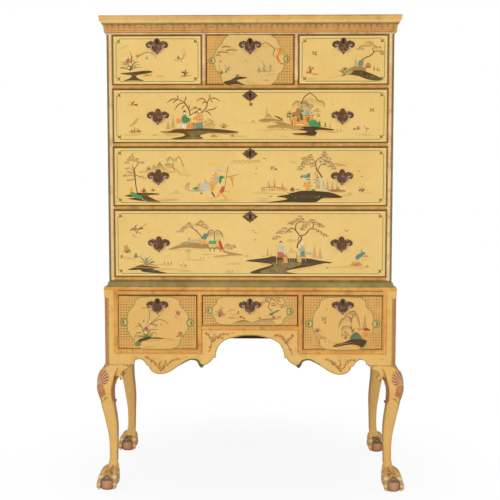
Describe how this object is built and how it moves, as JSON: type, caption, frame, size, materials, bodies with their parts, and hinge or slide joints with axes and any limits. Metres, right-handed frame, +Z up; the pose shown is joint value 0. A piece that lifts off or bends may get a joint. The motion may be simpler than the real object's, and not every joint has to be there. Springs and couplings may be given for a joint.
{
  "type": "chest on stand",
  "caption": "Japanned chest of drawers on a matching stand with cabriole legs and claw-and-ball feet, sliding drawers, drop handles and drawer locks.",
  "frame": {"origin": "on the floor, in the middle of the four feet", "axes": "+X to the right seen from the front, +Y towards the back, +Z up; the front faces -Y"},
  "size_m": [1.095, 0.542, 1.673],
  "materials": {
    "case_japanning": "cream-yellow oil japanning, glossy, crazed",
    "drawer_japanning": "cream-yellow japanning with painted scenes, bare wood behind",
    "cornice_japanning": "yellow and orange painted cornice with lunettes",
    "painted_beads": "pinkish-orange paint, worn to gesso on the crests",
    "green_moulding": "olive-green paint",
    "stand_japanning": "cream-yellow japanning, darker than the case",
    "leg_japanning": "cream-yellow japanning with carved and coloured knees and feet",
    "bare_wood": "unpainted pine and oak, dry",
    "bronze": "dark patinated bronze",
    "lock_iron": "old iron"
  },
  "bodies": {
    "carcase": {"case_sides": "case_japanning", "case_top_and_bottom_boards": "case_japanning", "case_back_boards": "bare_wood", "case_front_rails": "case_japanning", "case_dust_boards": "bare_wood", "case_drawer_dividers": "case_japanning", "case_beading": "painted_beads", "case_cornice": "cornice_japanning", "stand_waist_moulding": "green_moulding", "stand_corner_posts": "stand_japanning", "stand_top_board": "bare_wood", "stand_front_rail_and_dividers": "stand_japanning", "stand_sides": "stand_japanning", "stand_back_board": "bare_wood", "stand_apron": "stand_japanning", "stand_drawer_runners": "bare_wood", "stand_beading": "painted_beads", "leg_front_left": "leg_japanning", "leg_front_right": "leg_japanning", "leg_back_left": "leg_japanning", "leg_back_right": "leg_japanning"},
    "drawer_short_left": {"drawer_short_left": "drawer_japanning", "fittings_short_left": "bronze"},
    "lock_bolt_short_left": {"lock_bolt_short_left": "lock_iron"},
    "bail_short_left": {"bail_short_left": "bronze"},
    "drawer_short_centre": {"drawer_short_centre": "drawer_japanning", "fittings_short_centre": "bronze"},
    "lock_bolt_short_centre": {"lock_bolt_short_centre": "lock_iron"},
    "bail_short_centre": {"bail_short_centre": "bronze"},
    "drawer_short_right": {"drawer_short_right": "drawer_japanning", "fittings_short_right": "bronze"},
    "lock_bolt_short_right": {"lock_bolt_short_right": "lock_iron"},
    "bail_short_right": {"bail_short_right": "bronze"},
    "drawer_long_upper": {"drawer_long_upper": "drawer_japanning", "fittings_long_upper": "bronze"},
    "lock_bolt_long_upper": {"lock_bolt_long_upper": "lock_iron"},
    "bail_long_upper_left": {"bail_long_upper_left": "bronze"},
    "bail_long_upper_right": {"bail_long_upper_right": "bronze"},
    "drawer_long_middle": {"drawer_long_middle": "drawer_japanning", "fittings_long_middle": "bronze"},
    "lock_bolt_long_middle": {"lock_bolt_long_middle": "lock_iron"},
    "bail_long_middle_left": {"bail_long_middle_left": "bronze"},
    "bail_long_middle_right": {"bail_long_middle_right": "bronze"},
    "drawer_long_lower": {"drawer_long_lower": "drawer_japanning", "fittings_long_lower": "bronze"},
    "lock_bolt_long_lower": {"lock_bolt_long_lower": "lock_iron"},
    "bail_long_lower_left": {"bail_long_lower_left": "bronze"},
    "bail_long_lower_right": {"bail_long_lower_right": "bronze"},
    "drawer_stand_left": {"drawer_stand_left": "drawer_japanning", "fittings_stand_left": "bronze"},
    "lock_bolt_stand_left": {"lock_bolt_stand_left": "lock_iron"},
    "bail_stand_left": {"bail_stand_left": "bronze"},
    "drawer_stand_centre": {"drawer_stand_centre": "drawer_japanning", "fittings_stand_centre": "bronze"},
    "lock_bolt_stand_centre": {"lock_bolt_stand_centre": "lock_iron"},
    "bail_stand_centre": {"bail_stand_centre": "bronze"},
    "drawer_stand_right": {"drawer_stand_right": "drawer_japanning", "fittings_stand_right": "bronze"},
    "lock_bolt_stand_right": {"lock_bolt_stand_right": "lock_iron"},
    "bail_stand_right": {"bail_stand_right": "bronze"}
  },
  "joints": [
    {"name": "drawer_short_left_slide", "type": "slide", "parent": "carcase", "child": "drawer_short_left", "axis": [0, -1, 0], "range_m": [0, 0.33]},
    {"name": "lock_bolt_short_left_slide", "type": "slide", "parent": "drawer_short_left", "child": "lock_bolt_short_left", "axis": [0, 0, 1], "range_m": [0, 0.009]},
    {"name": "bail_short_left_hinge", "type": "hinge", "parent": "drawer_short_left", "child": "bail_short_left", "pos_m": [-0.3241, -0.2307, 1.5722], "axis": [-1, 0, 0], "range_deg": [-5, 165]},
    {"name": "drawer_short_centre_slide", "type": "slide", "parent": "carcase", "child": "drawer_short_centre", "axis": [0, -1, 0], "range_m": [0, 0.33]},
    {"name": "lock_bolt_short_centre_slide", "type": "slide", "parent": "drawer_short_centre", "child": "lock_bolt_short_centre", "axis": [0, 0, 1], "range_m": [0, 0.009]},
    {"name": "bail_short_centre_hinge", "type": "hinge", "parent": "drawer_short_centre", "child": "bail_short_centre", "pos_m": [0, -0.2307, 1.5722], "axis": [-1, 0, 0], "range_deg": [-5, 165]},
    {"name": "drawer_short_right_slide", "type": "slide", "parent": "carcase", "child": "drawer_short_right", "axis": [0, -1, 0], "range_m": [0, 0.33]},
    {"name": "lock_bolt_short_right_slide", "type": "slide", "parent": "drawer_short_right", "child": "lock_bolt_short_right", "axis": [0, 0, 1], "range_m": [0, 0.009]},
    {"name": "bail_short_right_hinge", "type": "hinge", "parent": "drawer_short_right", "child": "bail_short_right", "pos_m": [0.3241, -0.2307, 1.5722], "axis": [-1, 0, 0], "range_deg": [-5, 165]},
    {"name": "drawer_long_upper_slide", "type": "slide", "parent": "carcase", "child": "drawer_long_upper", "axis": [0, -1, 0], "range_m": [0, 0.33]},
    {"name": "lock_bolt_long_upper_slide", "type": "slide", "parent": "drawer_long_upper", "child": "lock_bolt_long_upper", "axis": [0, 0, 1], "range_m": [0, 0.009]},
    {"name": "bail_long_upper_left_hinge", "type": "hinge", "parent": "drawer_long_upper", "child": "bail_long_upper_left", "pos_m": [-0.3225, -0.2307, 1.3295], "axis": [-1, 0, 0], "range_deg": [-5, 165]},
    {"name": "bail_long_upper_right_hinge", "type": "hinge", "parent": "drawer_long_upper", "child": "bail_long_upper_right", "pos_m": [0.3225, -0.2307, 1.3295], "axis": [-1, 0, 0], "range_deg": [-5, 165]},
    {"name": "drawer_long_middle_slide", "type": "slide", "parent": "carcase", "child": "drawer_long_middle", "axis": [0, -1, 0], "range_m": [0, 0.33]},
    {"name": "lock_bolt_long_middle_slide", "type": "slide", "parent": "drawer_long_middle", "child": "lock_bolt_long_middle", "axis": [0, 0, 1], "range_m": [0, 0.009]},
    {"name": "bail_long_middle_left_hinge", "type": "hinge", "parent": "drawer_long_middle", "child": "bail_long_middle_left", "pos_m": [-0.3225, -0.2307, 1.1185], "axis": [-1, 0, 0], "range_deg": [-5, 165]},
    {"name": "bail_long_middle_right_hinge", "type": "hinge", "parent": "drawer_long_middle", "child": "bail_long_middle_right", "pos_m": [0.3225, -0.2307, 1.1185], "axis": [-1, 0, 0], "range_deg": [-5, 165]},
    {"name": "drawer_long_lower_slide", "type": "slide", "parent": "carcase", "child": "drawer_long_lower", "axis": [0, -1, 0], "range_m": [0, 0.33]},
    {"name": "lock_bolt_long_lower_slide", "type": "slide", "parent": "drawer_long_lower", "child": "lock_bolt_long_lower", "axis": [0, 0, 1], "range_m": [0, 0.009]},
    {"name": "bail_long_lower_left_hinge", "type": "hinge", "parent": "drawer_long_lower", "child": "bail_long_lower_left", "pos_m": [-0.3225, -0.2307, 0.8825], "axis": [-1, 0, 0], "range_deg": [-5, 165]},
    {"name": "bail_long_lower_right_hinge", "type": "hinge", "parent": "drawer_long_lower", "child": "bail_long_lower_right", "pos_m": [0.3225, -0.2307, 0.8825], "axis": [-1, 0, 0], "range_deg": [-5, 165]},
    {"name": "drawer_stand_left_slide", "type": "slide", "parent": "carcase", "child": "drawer_stand_left", "axis": [0, -1, 0], "range_m": [0, 0.33]},
    {"name": "lock_bolt_stand_left_slide", "type": "slide", "parent": "drawer_stand_left", "child": "lock_bolt_stand_left", "axis": [0, 0, 1], "range_m": [0, 0.009]},
    {"name": "bail_stand_left_hinge", "type": "hinge", "parent": "drawer_stand_left", "child": "bail_stand_left", "pos_m": [-0.3275, -0.2472, 0.664], "axis": [-1, 0, 0], "range_deg": [-5, 165]},
    {"name": "drawer_stand_centre_slide", "type": "slide", "parent": "carcase", "child": "drawer_stand_centre", "axis": [0, -1, 0], "range_m": [0, 0.33]},
    {"name": "lock_bolt_stand_centre_slide", "type": "slide", "parent": "drawer_stand_centre", "child": "lock_bolt_stand_centre", "axis": [0, 0, 1], "range_m": [0, 0.009]},
    {"name": "bail_stand_centre_hinge", "type": "hinge", "parent": "drawer_stand_centre", "child": "bail_stand_centre", "pos_m": [0, -0.2472, 0.664], "axis": [-1, 0, 0], "range_deg": [-5, 165]},
    {"name": "drawer_stand_right_slide", "type": "slide", "parent": "carcase", "child": "drawer_stand_right", "axis": [0, -1, 0], "range_m": [0, 0.33]},
    {"name": "lock_bolt_stand_right_slide", "type": "slide", "parent": "drawer_stand_right", "child": "lock_bolt_stand_right", "axis": [0, 0, 1], "range_m": [0, 0.009]},
    {"name": "bail_stand_right_hinge", "type": "hinge", "parent": "drawer_stand_right", "child": "bail_stand_right", "pos_m": [0.3275, -0.2472, 0.664], "axis": [-1, 0, 0], "range_deg": [-5, 165]}
  ]
}
